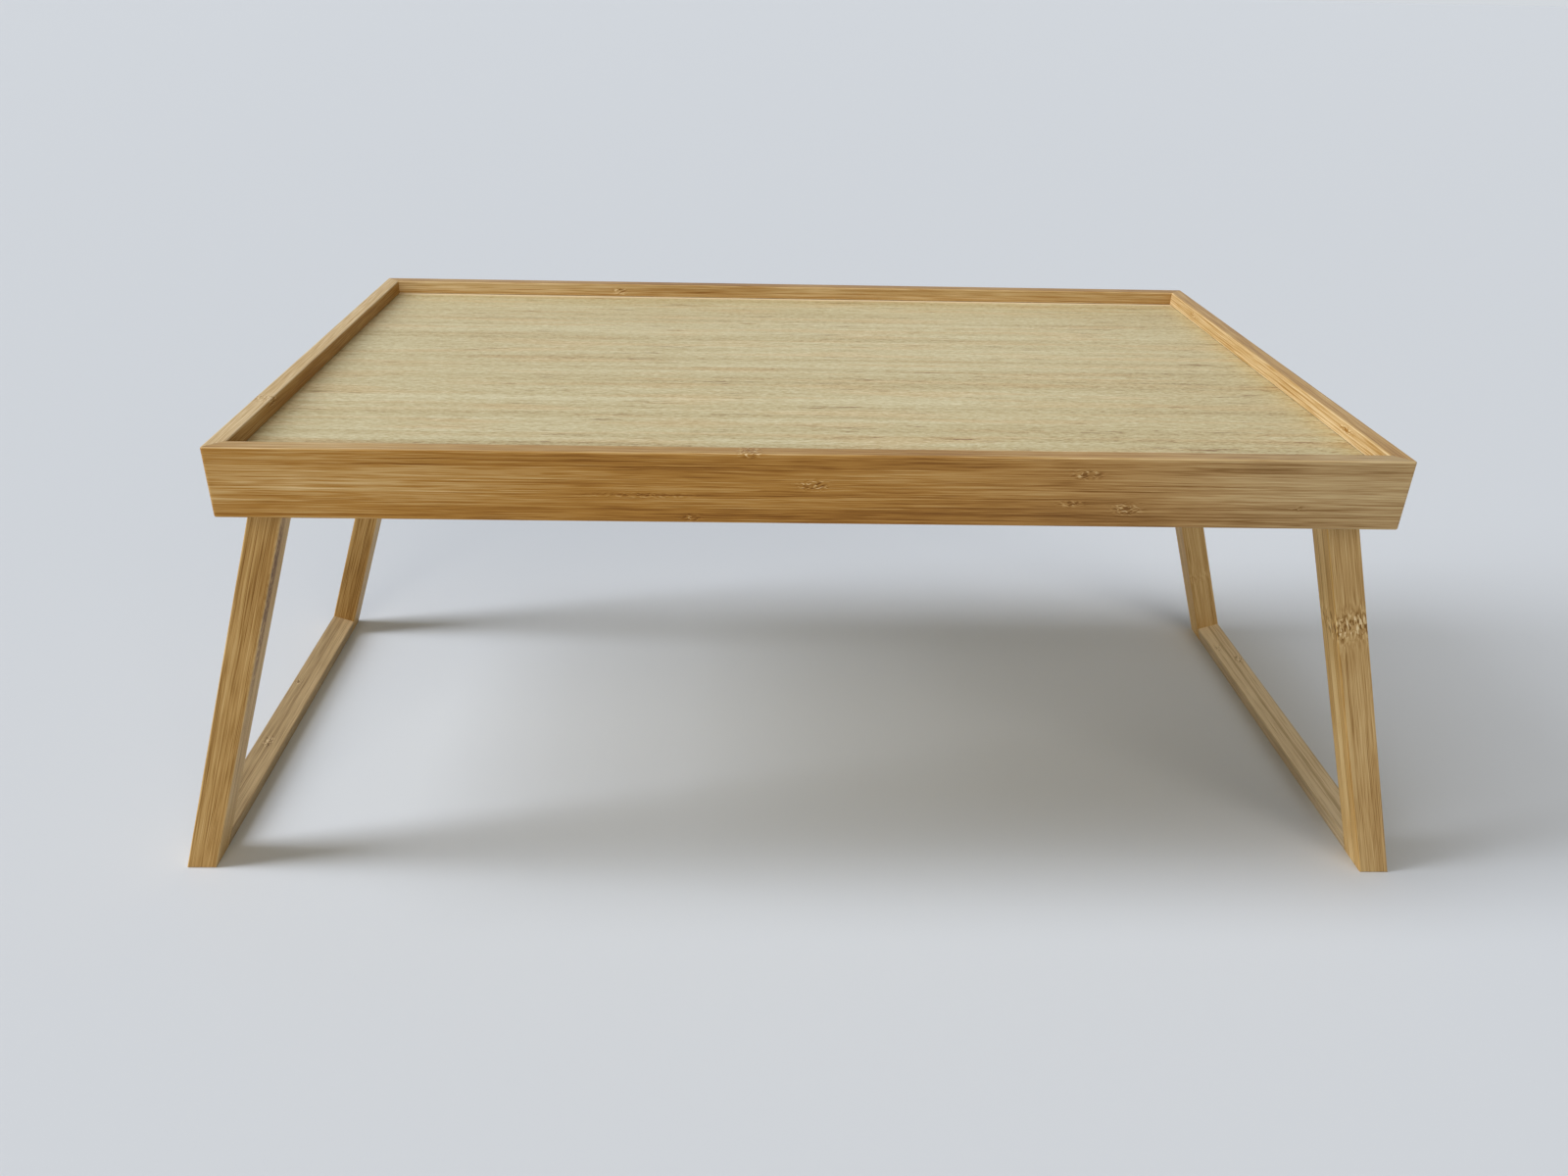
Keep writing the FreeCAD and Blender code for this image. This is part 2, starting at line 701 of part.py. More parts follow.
def check_document():
    for thing in doc.Objects:
        if "Invalid" in thing.State or "Error" in thing.State:
            raise RuntimeError(f"{thing.Label} did not build: {thing.State}")
    for part in sub_parts:
        if part.Shape.isNull() or not part.Shape.isValid():
            raise RuntimeError(f"{part.Label} has no valid shape")


def write_parts():
    os.makedirs("parts", exist_ok=True)
    for part in sub_parts:
        part.Shape.exportStep(f"parts/{part.Label}.step")
        box = part.Shape.BoundBox
        print(
            f"{part.Label:28s} {len(part.Shape.Solids)} solid(s) {part.Shape.Volume:10.1f} mm3"
            f"  x {box.XMin:.2f} {box.XMax:.2f}  y {box.YMin:.2f} {box.YMax:.2f}"
            f"  z {box.ZMin:.2f} {box.ZMax:.2f}"
        )


fill_size_sheet()
make_tray()
for side_name, side_sign in SIDES.items():
    make_leg_frame(side_name, side_sign)
doc.recompute()
check_document()
write_parts()
for size_name, _ in WORKED_OUT_SIZES:
    print(f"{size_name} = {getattr(places, size_name):.4f}")
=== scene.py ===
"""Folding bed tray table in laminated bamboo: its finishes, its pivot screws, the light and the camera.

The rim, the panel, the cleats and the two leg frames keep their solid nodes and get
lacquered bamboo.  Lengths of the patterns are in millimetres on the piece, lengths of
objects in metres, and angles in degrees unless a name says otherwise.
"""
import json
import math

import bpy
from mathutils import Matrix, Vector


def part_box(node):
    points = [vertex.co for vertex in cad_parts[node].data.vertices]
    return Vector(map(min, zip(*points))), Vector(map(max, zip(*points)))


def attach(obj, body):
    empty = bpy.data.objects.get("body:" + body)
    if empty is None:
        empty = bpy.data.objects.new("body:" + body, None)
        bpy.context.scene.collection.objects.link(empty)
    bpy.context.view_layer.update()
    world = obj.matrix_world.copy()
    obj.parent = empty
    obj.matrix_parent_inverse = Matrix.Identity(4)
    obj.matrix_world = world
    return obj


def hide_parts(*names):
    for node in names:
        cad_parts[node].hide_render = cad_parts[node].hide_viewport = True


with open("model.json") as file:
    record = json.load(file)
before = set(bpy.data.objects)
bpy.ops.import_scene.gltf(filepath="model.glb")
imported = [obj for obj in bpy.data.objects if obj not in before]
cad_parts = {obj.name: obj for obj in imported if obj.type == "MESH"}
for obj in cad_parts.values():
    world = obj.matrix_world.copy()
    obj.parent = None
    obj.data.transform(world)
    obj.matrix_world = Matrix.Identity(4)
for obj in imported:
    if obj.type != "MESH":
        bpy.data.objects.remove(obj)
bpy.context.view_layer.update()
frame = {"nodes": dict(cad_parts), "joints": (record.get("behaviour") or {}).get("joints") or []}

MM = 0.001
SIDES = {"left": -1, "right": 1}
ENDS = {"front": -1, "rear": 1}

X_AXIS = Vector((1, 0, 0))
Y_AXIS = Vector((0, 1, 0))
Z_AXIS = Vector((0, 0, 1))


# ---------------------------------------------------------------- places of the solid pieces

def middle_of(node):
    """The middle of a solid node's box."""
    low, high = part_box(node)
    return (Vector(low) + Vector(high)) / 2


def half_sizes(node):
    """Half of a solid node's box along x, y and z, in millimetres."""
    low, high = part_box(node)
    return (Vector(high) - Vector(low)) / 2 / MM


def fold_of(side_word):
    """The joint that a leg frame folds on."""
    return next(joint for joint in frame["joints"] if joint["name"] == f"{side_word}_leg_fold")


def pivot_of(side_word):
    """The middle of a leg frame's pivot axis."""
    return Vector(fold_of(side_word)["pos_m"])


def up_the_leg(side_word):
    """The direction of the open legs, upwards; the fold ends with them level."""
    lean = math.radians(fold_of(side_word)["range_deg"][1]) - math.pi / 2
    return Vector((-SIDES[side_word] * math.sin(lean), 0, math.cos(lean)))


def half_leg_thickness(side_word):
    """Half a leg's thickness in millimetres: the radius of its round head about the pivot."""
    low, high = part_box(f"{side_word}_front_leg")
    return (high[2] - pivot_of(side_word)[2]) / MM


def dress(node, material):
    """Put a material on a solid node."""
    slots = frame["nodes"][node].data.materials
    slots.clear()
    slots.append(material)


# ---------------------------------------------------------------- shader and geometry maths

class Wire:
    """A number that varies over a surface or a mesh; arithmetic on it adds Math nodes."""

    def __init__(self, nodes, socket):
        self.nodes = nodes
        self.socket = socket

    def maths(self, operation, *values):
        """One Math node on the values, in their order."""
        return self.nodes.node("ShaderNodeMath", {"operation": operation}, dict(enumerate(values)))

    def __add__(self, other):
        return self.maths("ADD", self, other)

    __radd__ = __add__

    def __sub__(self, other):
        return self.maths("SUBTRACT", self, other)

    def __rsub__(self, other):
        return self.maths("SUBTRACT", other, self)

    def __mul__(self, other):
        return self.maths("MULTIPLY", self, other)

    __rmul__ = __mul__

    def __truediv__(self, other):
        return self.maths("DIVIDE", self, other)

    def __rtruediv__(self, other):
        return self.maths("DIVIDE", other, self)

    def __neg__(self):
        return self * -1

    def __abs__(self):
        return self.maths("ABSOLUTE", self)

    def fraction(self):
        return self.maths("FRACT", self)

    def floor(self):
        return self.maths("FLOOR", self)

    def sign(self):
        return self.maths("SIGN", self)

    def root(self):
        return self.maths("SQRT", self)

    def larger(self, other):
        return self.maths("MAXIMUM", self, other)

    def smaller(self, other):
        return self.maths("MINIMUM", self, other)

    def turn_from(self, level):
        """The part of a full turn to a point that is this far up and the other number along."""
        return self.maths("ARCTAN2", self, level) / math.tau

    def bell(self):
        """1 where the number is 0, falling to nothing on both sides of it."""
        return self.maths("EXPONENT", -(self * self))

    def swing(self, amount):
        """Noise about 0.5 as a change either way, by the amount for a full step of the noise."""
        return (self - 0.5) * amount

    def rise(self, low, high):
        """0 below low, 1 above high and smooth between."""
        settings = {"interpolation_type": "SMOOTHSTEP"}
        ends = {"From Min": low, "From Max": high, "Value": self}
        return self.nodes.node("ShaderNodeMapRange", settings, ends)

    def beside(self, output):
        """Another output of the node that this number comes from."""
        return Wire(self.nodes, socket_of(self.socket.node.outputs, output))


def largest(numbers):
    """The largest of several varying numbers."""
    most = numbers[0]
    for number in numbers[1:]:
        most = most.larger(number)
    return most


class Nodes:
    """The nodes of one tree, all added in the same way."""

    def __init__(self, tree):
        self.tree = tree

    def node(self, kind, settings=None, values=None, output=0):
        """Add a node: its settings first, then the values or links of its sockets."""
        made = self.tree.nodes.new(kind)
        for name, value in (settings or {}).items():
            if name == "stops":
                set_stops(made.color_ramp, value)
            else:
                setattr(made, name, value)
        for name, value in (values or {}).items():
            socket = socket_of(made.inputs, name)
            for each in value if isinstance(value, list) else [value]:
                if isinstance(each, Wire):
                    self.tree.links.new(each.socket, socket)
                else:
                    socket.default_value = each
        return Wire(self, socket_of(made.outputs, output))

    def split(self, point):
        """The three coordinates of a point."""
        x = self.node("ShaderNodeSeparateXYZ", None, {"Vector": point})
        return x, x.beside("Y"), x.beside("Z")

    def joined(self, x=0.0, y=0.0, z=0.0):
        """The point with three coordinates."""
        return self.node("ShaderNodeCombineXYZ", None, {"X": x, "Y": y, "Z": z})


class Finish(Nodes):
    """One material, and the nodes that make it."""

    def __init__(self, name):
        self.material = bpy.data.materials.new(name)
        self.material.use_nodes = True
        super().__init__(self.material.node_tree)
        self.tree.nodes.clear()

    def place(self, origin=(0, 0, 0), turn=(0, 0, 0)):
        """The coordinates in millimetres from origin, in a frame that is turned to the grain."""
        point = self.node("ShaderNodeTexCoord", output="Object")
        values = {"Vector": point, "Location": origin, "Rotation": turn, "Scale": (MM, MM, MM)}
        return self.split(self.node("ShaderNodeMapping", {"vector_type": "TEXTURE"}, values))

    def noise(self, x, y, z, detail=2.0, roughness=0.5):
        """Smooth noise about 0.5, one cell for each unit of the coordinates."""
        values = {"Vector": self.joined(x, y, z), "Scale": 1.0, "Detail": detail, "Roughness": roughness}
        return self.node("ShaderNodeTexNoise", {"noise_dimensions": "3D"}, values)

    def chance(self, number):
        """A random tone from 0 to 1 that is the same wherever the number is."""
        return self.node("ShaderNodeTexWhiteNoise", {"noise_dimensions": "1D"}, {"W": number})

    def ramp(self, factor, stops, interpolation="LINEAR"):
        """A colour, or a tone where the stops are plain numbers, along the factor."""
        made = self.node("ShaderNodeValToRGB", {"stops": stops}, {"Fac": factor})
        made.socket.node.color_ramp.interpolation = interpolation
        return made

    def blend(self, factor, first, second, mode="MIX"):
        """Mix two colours."""
        settings = {"data_type": "RGBA", "blend_type": mode}
        values = {"Factor_Float": factor, "A_Color": first, "B_Color": second}
        return self.node("ShaderNodeMix", settings, values, output="Result_Color")

    def tinted(self, colour, tint):
        """A colour multiplied by another."""
        return self.blend(1.0, colour, tint, mode="MULTIPLY")

    def surface(self, colour, roughness, height=None, depth=0.0, **fixed):
        """The shader: colour and roughness vary, what is fixed is set on its own socket."""
        values = {"Base Color": colour, "Roughness": roughness}
        if height is not None:
            bump = {"Height": height, "Distance": depth * MM, "Strength": 1.0}
            values["Normal"] = self.node("ShaderNodeBump", None, bump)
        values.update({name.replace("_", " "): value for name, value in fixed.items()})
        shader = self.node("ShaderNodeBsdfPrincipled", None, values)
        self.node("ShaderNodeOutputMaterial", None, {"Surface": shader}, output=None)
        return self.material


def socket_of(sockets, name):
    """A socket by its number, its identifier or its name, or None for a node without outputs."""
    if name is None:
        return None
    if isinstance(name, int):
        return sockets[name]
    by_identifier = [socket for socket in sockets if socket.identifier == name]
    return by_identifier[0] if by_identifier else sockets[name]


def set_stops(ramp, stops):
    """Stops are (place, tone) or (place, (red, green, blue)) pairs, in order."""
    while len(ramp.elements) < len(stops):
        ramp.elements.new(1.0)
    for element, (place, colour) in zip(ramp.elements, stops):
        element.position = place
        tones = colour if isinstance(colour, tuple) else (colour,) * 3
        element.color = (*tones, 1.0)


# ---------------------------------------------------------------- bamboo

# colours of the wood from its darkest fibre to its palest, in linear light
RAIL_TONES = [
    (0.00, (0.175, 0.064, 0.007)), (0.25, (0.308, 0.136, 0.021)), (0.50, (0.418, 0.210, 0.043)),
    (0.75, (0.548, 0.345, 0.128)), (1.00, (0.760, 0.570, 0.310)),
]
GREY_TONES = [
    (0.00, (0.210, 0.115, 0.036)), (0.30, (0.380, 0.250, 0.112)), (0.60, (0.500, 0.370, 0.190)),
    (1.00, (0.700, 0.570, 0.360)),
]
LEG_TONES = [
    (0.00, (0.170, 0.072, 0.015)), (0.25, (0.345, 0.183, 0.047)), (0.50, (0.525, 0.320, 0.110)),
    (0.75, (0.670, 0.460, 0.205)), (1.00, (0.820, 0.660, 0.390)),
]
BAR_TONES = [
    (0.00, (0.200, 0.122, 0.052)), (0.25, (0.330, 0.220, 0.105)), (0.50, (0.470, 0.335, 0.175)),
    (0.75, (0.620, 0.455, 0.250)), (1.00, (0.800, 0.640, 0.400)),
]
PANEL_TONES = [
    (0.00, (0.230, 0.126, 0.042)), (0.25, (0.410, 0.297, 0.130)), (0.50, (0.540, 0.447, 0.232)),
    (0.75, (0.592, 0.508, 0.286)), (1.00, (0.710, 0.640, 0.415)),
]
# the warmer colour of painted light and shade on a leg's inner face
INNER_FACE_LIGHT_TINT = (1.04, 0.95, 0.76, 1)
ROSY_TINT = (1.04, 0.92, 0.84, 1)
# the pale cream of a painted highlight along the panel's rear edge
REAR_EDGE_HIGHLIGHT_COLOUR = (0.82, 0.68, 0.44, 1)

# a stretch so long that it covers a piece evenly, and a half size that puts a piece's edges out of reach
WHOLE_LENGTH = 4000
NO_EDGE = 400.0


def grain_turn(along, across):
    """The turn that puts local x along the grain and local y across the strips."""
    columns = Matrix((along, across, along.cross(across))).transposed()
    return columns.to_euler("XYZ")


class Grain:
    """The place on one piece of bamboo, and the fibres that are laid over it.

    Everything is measured in millimetres from the piece's own origin: x runs along the
    grain, y across the strips and z through their thickness.
    """

    NOISE_STEP = 37.0
    # how far a knot pushes the fibres aside, and swirls them across and along
    PARTING = 0.28
    SWIRL_ACROSS = 2.2
    SWIRL_ALONG = 4.5

    def __init__(self, finish, origin, along, across, seed):
        self.finish = finish
        self.x, self.y, self.z = finish.place(origin, grain_turn(along, across))
        self.shift = self.NOISE_STEP * seed
        self.in_knot = None

    def wander(self, reach=0.9):
        """Let the fibres drift slowly off the straight line."""
        slow = self.finish.noise(self.x / 130 + self.shift, self.y / 7, self.z / 7, detail=1.0)
        self.y = self.y + slow.swing(2 * reach)

    def add_knots(self, knots):
        """Part the fibres where a joint of the stalk crosses a strip.

        Each knot is its x, y, half length, half width and strength.
        """
        spreads = []
        asides = []
        for x, y, length, width, strength in knots:
            spread = ((self.x - x) / length).bell() * ((self.y - y) / width).bell() * strength
            spreads.append(spread)
            asides.append((self.y - y) * spread)
        figure = largest(spreads)
        swirl = self.finish.noise(self.x / 3.2, self.y / 1.8 + self.shift, self.z / 1.8, detail=1.0) - 0.5
        self.y = self.y - sum(asides) * self.PARTING + figure * swirl * self.SWIRL_ACROSS
        self.x = self.x + figure * swirl * self.SWIRL_ALONG
        self.in_knot = figure.rise(0.12, 0.75)

    def streaks(self, length, width, detail=2.0, roughness=0.5):
        """Noise drawn out along the grain."""
        across = self.y / width + self.shift
        return self.finish.noise(self.x / length, across, self.z / width, detail, roughness)

    def lines(self, length, width, low=0.60, high=0.72):
        """Separate thin fibres: 1 on a fibre and 0 beside it."""
        return self.streaks(length, width, detail=0.0).rise(low, high)

    def strokes(self, size=1.0):
        """Short slanting hairs of a knot, two ways across each other, from dark to pale."""
        length = 2.8 * size
        width = 0.55 * size
        hairs = []
        for slant in (0.30, -0.30):
            across = (self.y + self.x * slant / size) / width + self.shift
            hairs.append(self.finish.noise(self.x / length + 50 * slant, across, self.z / width, detail=0.0))
        pale, dark = hairs
        return pale.rise(0.52, 0.68) - dark.rise(0.52, 0.66)

    def skin_strip(self, half_deep, x, half_length, y, half_width):
        """A strip of the stalk's own skin on the face away from local z, and how rough it is there."""
        rough = self.finish.noise(self.x / 3.2, self.y / 1.1, self.z / 1.1, detail=2.0)
        ragged_y = self.y - y + rough * 3 - 1.5
        band = ((self.x - x) / half_length).bell() * (ragged_y / half_width).bell()
        return (band * 1.5).smaller(1.0) * (-self.z / half_deep).rise(0.80, 0.96), rough


def stretches(lengthwise, places):
    """Soft stretches along a piece, each from its x, half length and amount."""
    return [((lengthwise - x) / half_length).bell() * amount for x, half_length, amount in places]


def strip_stops(tones):
    """Ramp stops of equal width, one for each strip."""
    return [(number / len(tones), tone) for number, tone in enumerate(tones)]


def solid_fibres(grain, run):
    """The fibres of solid bamboo: their tone, their height and roughness, and the medium ones alone."""
    broad = grain.streaks(300 * run, 3.4, detail=1.0)
    medium = grain.streaks(240 * run, 1.2, detail=2.0)
    fine = grain.streaks(130 * run, 0.50, detail=2.0, roughness=0.65)
    hair = grain.streaks(20 * run, 0.32, detail=1.0, roughness=0.6)
    dark_lines = grain.lines(140 * run, 0.75, 0.63, 0.70)
    dark_hairs = grain.lines(30 * run, 0.50, 0.62, 0.69)
    pale_hairs = grain.lines(60 * run, 0.60, 0.63, 0.70)

    tone = broad.swing(0.34) + medium.swing(0.36) + fine.swing(1.05) + hair.swing(1.20)
    # the palest fibres stand out less than the darkest
    tone = 0.022 + tone - tone.larger(0.0) * 0.42
    tone = tone - (dark_lines * 0.13 + dark_hairs * 0.12 - pale_hairs * 0.06)
    height = fine * 0.5 + hair * 0.35 - dark_lines * 0.3
    roughness = 0.44 + fine.swing(0.30) + medium.swing(0.12)
    return tone, height, roughness, medium


def bamboo(name, origin, along, across, size, tones, palette, seed, knots=(), patches=(), greyed=(),
           contrast=1.0, run=1.0, lift=0.0, seam=0.30, seam_width=0.34, painted_edge_highlight=0.16,
           top=0.0, inner=0.0, skin=None, knot_hair=1.0, gloss=0.17):
    """Lacquered laminated bamboo for one piece.

    size: the piece's half sizes across the strips and through them
    tones: the tone of each strip, which the palette turns into a colour
    seed: a number of its own, so that its noise isn't another piece's
    knots: joints of the stalk, by x, y, half length, half width and strength
    patches: longer stretches of another tone, by x, half length and amount
    greyed: stretches with less of the warm colour, by x, half length and amount
    contrast, run: how much the fibres stand out, and how far they are drawn out
    lift: how far the strips are moved across the piece
    seam, seam_width: how dark and how wide the seams between the strips are
    painted_edge_highlight: how much paler the edges are, a painted highlight along them
    top: how much paler the uppermost face is, or darker below 0, which is also a little greyer: painted
    light and shade on that face
    inner: how much paler, or darker below 0, the face on local z is, which is warmer and never greyed:
    painted light and shade on that face
    skin: a strip of the stalk's skin on the opposite face, by x, half length, y and half width
    knot_hair: the size of the hairs in a knot
    gloss: the specular level of the lacquer
    """
    finish = Finish(name)
    grain = Grain(finish, origin, along, across, seed)
    half_across, half_deep = size

    # strips, edges and faces are straight, so they are taken before the fibres wander
    lengthwise = grain.x
    strip_width = 2 * half_across / len(tones)
    from_lowest = grain.y - lift + half_across
    strip_tone = finish.ramp(from_lowest / (2 * half_across), strip_stops(tones), "CONSTANT")
    strip = from_lowest / strip_width
    from_seam = abs((strip + 0.5).fraction() - 0.5) * strip_width
    strip_drift = finish.noise(grain.x / 75, strip.floor() * 5.3 + grain.shift, 0.0, detail=2.0)
    side_room = half_across - abs(grain.y)
    deep_room = half_deep - abs(grain.z)
    near_edge = 1 - (side_room + deep_room).rise(0.2, 1.1)
    on_top = (grain.y - (half_across - 0.5)).rise(0.0, 0.35)
    on_inner = (grain.z - (half_deep - 0.5)).rise(0.0, 0.35)

    grain.wander()
    if knots:
        grain.add_knots(knots)
    fibre, height, roughness, medium = solid_fibres(grain, run)
    tone = strip_tone + strip_drift.swing(0.50) * contrast + fibre * contrast
    tone = sum(stretches(lengthwise, patches), tone)
    if seam:
        tone = tone - (1 - from_seam.rise(0.05, seam_width)) * seam * medium
    height = height + from_seam.rise(0.0, 0.3) * 0.3
    if skin:
        band, rough = grain.skin_strip(half_deep, *skin)
        tone = tone - band * (rough.rise(0.36, 0.56) * 0.46 + 0.16)
        height = height + band * rough
    if knots:
        hairs = grain.strokes(knot_hair)
        tone = tone + grain.in_knot * (hairs * 0.52 - 0.02)
        height = height + grain.in_knot * hairs * 0.3
    # painted highlight: the edges are made paler
    tone = tone + near_edge * painted_edge_highlight

    grey = stretches(lengthwise, greyed)
    # painted light and shade on the face on local z: paler, or darker below 0, and warmer
    if inner:
        tone = tone + on_inner * inner
    # painted light and shade: the top face is made paler, or darker below 0, and a little greyer
    if top:
        tone = tone + on_top * top
        grey.append(on_top * 0.4)
    colour = finish.ramp(tone, palette)
    if grey:
        greyness = largest(grey)
        if inner:
            greyness = greyness * (1 - on_inner)
        colour = finish.blend(greyness, colour, finish.ramp(tone - 0.09, GREY_TONES))
    if inner:
        colour = finish.blend(on_inner, colour, finish.tinted(colour, INNER_FACE_LIGHT_TINT))
    return finish.surface(
        colour, roughness, height, depth=0.05,
        Coat_Weight=0.04, Coat_Roughness=0.30, IOR=1.45, Specular_IOR_Level=gloss,
    )


# the four rails of the rim, tones from the lowest of five strips to the top one
# top sets painted light and shade on each rail's top face
RAIL_LOOKS = {
    "front_rail": dict(
        tones=(0.30, 0.39, 0.46, 0.45, 0.37), seed=1.0, top=0.24,
        knots=(
            (-0.5, 2.2, 7.0, 2.8, 0.9), (113, 8.0, 6.5, 2.4, 0.9), (108, -5.2, 8.0, 2.0, 0.6),
            (132, -7.2, 7.0, 2.8, 0.9), (-51, -13.0, 5.0, 1.8, 0.8), (-27, 15.5, 5.0, 2.0, 0.9),
            (-72, -3.0, 30.0, 1.8, 0.45), (205, -6.0, 4.0, 1.6, 0.5),
        ),
        patches=((-245, 110, 0.20), (252, 60, 0.10)),
        greyed=((240, 130, 0.95),),
    ),
    "rear_rail": dict(
        tones=(0.60, 0.66, 0.56, 0.64, 0.66), seed=2.0, top=-0.14,
        knots=((-105, 11.0, 5.0, 2.0, 1.0), (140, 5.0, 5.0, 2.0, 0.9), (22, -6.0, 5.5, 2.2, 0.9)),
        patches=((-200, 90, 0.12),),
        greyed=((0, WHOLE_LENGTH, 0.40),),
    ),
    "left_rail": dict(
        tones=(0.46, 0.52, 0.42, 0.46, 0.52), seed=3.0, top=0.42,
        knots=((-87, 14.0, 5.0, 2.4, 1.0), (62, -3.0, 5.0, 2.2, 0.9)),
    ),
    "right_rail": dict(
        tones=(0.48, 0.44, 0.50, 0.92, 0.82), seed=4.0, top=-0.30, lift=1.0,
        knots=((-103, 12.5, 6.0, 1.7, 1.0), (100, 12.0, 5.0, 1.6, 0.9), (10, -8.0, 5.0, 2.2, 0.9)),
    ),
}

# the legs, tones of three strips from front to rear; local z points to the left on all of them,
# so it is the inner face that it reaches on the right and the outer one on the left
LEG = dict(contrast=0.85, run=1.2, seam=0.5, seam_width=0.6, knot_hair=1.7, gloss=0.08)
LEFT_LEG = dict(LEG, greyed=((0, WHOLE_LENGTH, 0.15),))
# the right legs' inner faces get painted shade and a warmer tint
RIGHT_LEG = dict(LEG, greyed=((0, WHOLE_LENGTH, 0.50),), inner=-0.10, painted_edge_highlight=0.02)
LEG_LOOKS = {
    "left_front_leg": dict(
        LEFT_LEG, tones=(0.66, 0.62, 0.60), seed=4.0, knots=((-150, 3, 6.0, 4.0, 0.4),),
        skin=(-62, 52, -4.5, 3.4),
    ),
    "left_rear_leg": dict(
        LEFT_LEG, tones=(0.57, 0.62, 0.57), seed=6.0, knots=((-24, -5, 6.0, 5.0, 0.8),),
    ),
    "right_front_leg": dict(
        RIGHT_LEG, tones=(0.76, 0.94, 0.84), seed=6.0, knots=((-71, -3, 8.5, 11.0, 1.0),),
    ),
    "right_rear_leg": dict(
        RIGHT_LEG, tones=(0.74, 0.84, 0.78), seed=8.0, knots=((-172, -6, 4.0, 4.0, 0.5),),
    ),
}

# the foot bars, two strips side by side
FOOT_BAR = dict(contrast=0.8, seam_width=1.1, painted_edge_highlight=0.0)
FOOT_BAR_LOOKS = {
    "left": dict(
        FOOT_BAR, tones=(0.61, 0.55), seed=11.0, seam=0.4,
        knots=((-35, 1.0, 6.0, 2.6, 0.9), (29, 4.0, 4.0, 2.2, 0.7)),
    ),
    "right": dict(
        FOOT_BAR, tones=(0.96, 0.90), seed=13.0, seam=0.70,
        knots=((85, -3.0, 5.0, 2.4, 0.9), (66, 4.0, 5.0, 2.4, 0.9)),
    ),
}

# the cleats, three strips one over the other
CLEAT = dict(tones=(0.50, 0.44, 0.54), knots=((-60, 3, 4, 2.2, 0.9), (150, -2, 4, 2.2, 0.9)))
CLEAT_SEEDS = {"front_cleat": 21.0, "rear_cleat": 22.0}


def rail_finishes():
    """The rails: their strips lie one over the other, all in the section of the front rail."""
    section = half_sizes("front_rail")
    for node, look in RAIL_LOOKS.items():
        along = X_AXIS if node in ("front_rail", "rear_rail") else Y_AXIS
        size = (section.z, section.y)
        material = bamboo(f"{node}_bamboo", middle_of(node), along, Z_AXIS, size, palette=RAIL_TONES, **look)
        dress(node, material)


def leg_finishes():
    """The legs: their strips lie side by side from front to rear, and x is measured from the pivot."""
    for side_word in SIDES:
        for end_word in ENDS:
            node = f"{side_word}_{end_word}_leg"
            origin = pivot_of(side_word)
            origin.y = middle_of(node).y
            size = (half_sizes(node).y, half_leg_thickness(side_word))
            material = bamboo(
                f"{node}_bamboo", origin, up_the_leg(side_word), Y_AXIS, size,
                palette=LEG_TONES, **LEG_LOOKS[node],
            )
            dress(node, material)


def foot_bar_finishes():
    """The foot bars: their strips lie side by side from the inner face to the outer one."""
    for side_word, side in SIDES.items():
        outwards = up_the_leg(side_word).cross(Y_AXIS) * -side
        material = bamboo(
            f"{side_word}_foot_bar_bamboo", pivot_of(side_word), Y_AXIS, outwards,
            (half_leg_thickness(side_word), NO_EDGE), palette=BAR_TONES, **FOOT_BAR_LOOKS[side_word],
        )
        dress(f"{side_word}_foot_bar", material)


def cleat_finishes():
    for node, seed in CLEAT_SEEDS.items():
        half = half_sizes(node)
        material = bamboo(
            f"{node}_bamboo", middle_of(node), X_AXIS, Z_AXIS, (half.z, half.y),
            palette=RAIL_TONES, seed=seed, **CLEAT,
        )
        dress(node, material)


def corner_spline_finish():
    """The tongues in the mitres, plain, with their grain upright."""
    spline = bamboo(
        "corner_spline_bamboo", Vector((0, 0, 0)), Z_AXIS, X_AXIS, (NO_EDGE, NO_EDGE),
        tones=(0.35, 0.35), palette=RAIL_TONES, seed=30.0, seam=0.0, painted_edge_highlight=0.0,
    )
    for end_word in ENDS:
        for side_word in SIDES:
            dress(f"corner_spline_{end_word}_{side_word}", spline)


# ---------------------------------------------------------------- panel

VENEER_STRIP = 5.6
VENEER_KNOTS = {
    "panel_top_veneer": (
        (-162, -115, 4.0, 2.2, 0.9), (74, -118, 4.5, 2.2, 0.9), (16, -33, 6.0, 3.0, 0.7),
        (-30, -46, 5.0, 1.6, 0.7), (112, 90, 4.0, 2.0, 0.6), (-163, -84, 4.0, 1.6, 0.5),
    ),
    "panel_bottom_veneer": ((-120, 40, 5, 2.4, 0.9), (60, -70, 5, 2.2, 0.8), (170, 88, 5, 2.4, 0.8)),
}


